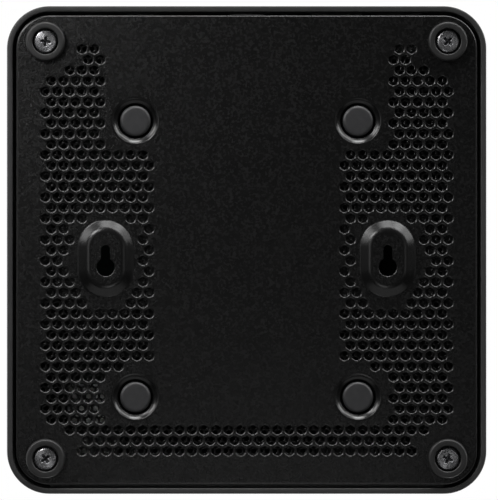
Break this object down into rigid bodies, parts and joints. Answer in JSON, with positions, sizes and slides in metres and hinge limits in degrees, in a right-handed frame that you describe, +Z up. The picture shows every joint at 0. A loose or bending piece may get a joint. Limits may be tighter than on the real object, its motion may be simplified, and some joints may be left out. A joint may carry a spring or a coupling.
{
  "type": "mini pc",
  "caption": "Small square desktop computer on rubber feet, with a honeycomb-vented bottom cover, keyhole bosses for wall mounting, a power button and front and rear sockets.",
  "frame": {"origin": "under the middle of the case, on the plane that the feet stand on", "axes": "+Z up out of the top, +Y towards the rear sockets, +X to the right seen from the front"},
  "size_m": [0.133, 0.1352, 0.0485],
  "materials": {
    "case": "fine moulded grain",
    "sheet": "textured powder coat",
    "foot": "matte",
    "plug": "smooth",
    "screw": "plated",
    "shield": "plated",
    "drive": "satin",
    "board": "solder mask",
    "chip": "satin",
    "copper": "satin",
    "fins": "satin",
    "black_plastic": "satin",
    "button": "satin",
    "light": "clear"
  },
  "bodies": {
    "case": {"case_shell": "case", "bottom_cover": "sheet", "keyhole_plate_left": "sheet", "keyhole_plate_right": "sheet", "foot_front_left": "foot", "foot_front_right": "foot", "foot_rear_left": "foot", "foot_rear_right": "foot", "cover_screw_front_left": "screw", "cover_screw_front_right": "screw", "cover_screw_rear_left": "screw", "cover_screw_rear_right": "screw", "drive_plug_front_left": "plug", "drive_plug_front_right": "plug", "drive_plug_rear_left": "plug", "drive_plug_rear_right": "plug", "drive_screw_front_left": "screw", "drive_screw_front_right": "screw", "drive_screw_rear_left": "screw", "drive_screw_rear_right": "screw", "drive": "drive", "drive_socket": "black_plastic", "drive_riser": "board", "motherboard": "board", "board_screw_front_left": "screw", "board_screw_front_right": "screw", "board_screw_rear_left": "screw", "board_screw_rear_right": "screw", "processor": "chip", "heat_pipe": "copper", "heat_sink": "fins", "blower_housing": "black_plastic", "blower_lid": "black_plastic", "blower_axle": "screw", "memory_socket_front": "black_plastic", "memory_socket_rear": "black_plastic", "memory_card_front": "board", "memory_card_rear": "board", "storage_card": "board", "storage_socket": "black_plastic", "wireless_card": "board", "wireless_socket": "black_plastic", "coin_cell": "shield", "antenna_left": "board", "antenna_right": "board", "rear_plate": "shield", "dc_jack": "black_plastic", "lan_port": "shield", "hdmi_port": "shield", "display_port": "shield", "rear_usb_stack": "shield", "front_usb_left": "shield", "front_usb_right": "shield", "front_usb_c": "shield", "audio_jack": "black_plastic", "power_switch": "black_plastic", "status_light": "light"},
    "button": {"power_button": "button"},
    "rotor": {"blower_rotor": "black_plastic"}
  },
  "joints": [
    {"name": "button_press", "type": "slide", "parent": "case", "child": "button", "axis": [0, 1, 0], "range_m": [0, 0.0008], "stiffness_N_per_m": 800},
    {"name": "rotor_spin", "type": "hinge", "parent": "case", "child": "rotor", "pos_m": [0.016, 0.02375, 0.0361], "axis": [0, 0, 1], "continuous": true}
  ]
}
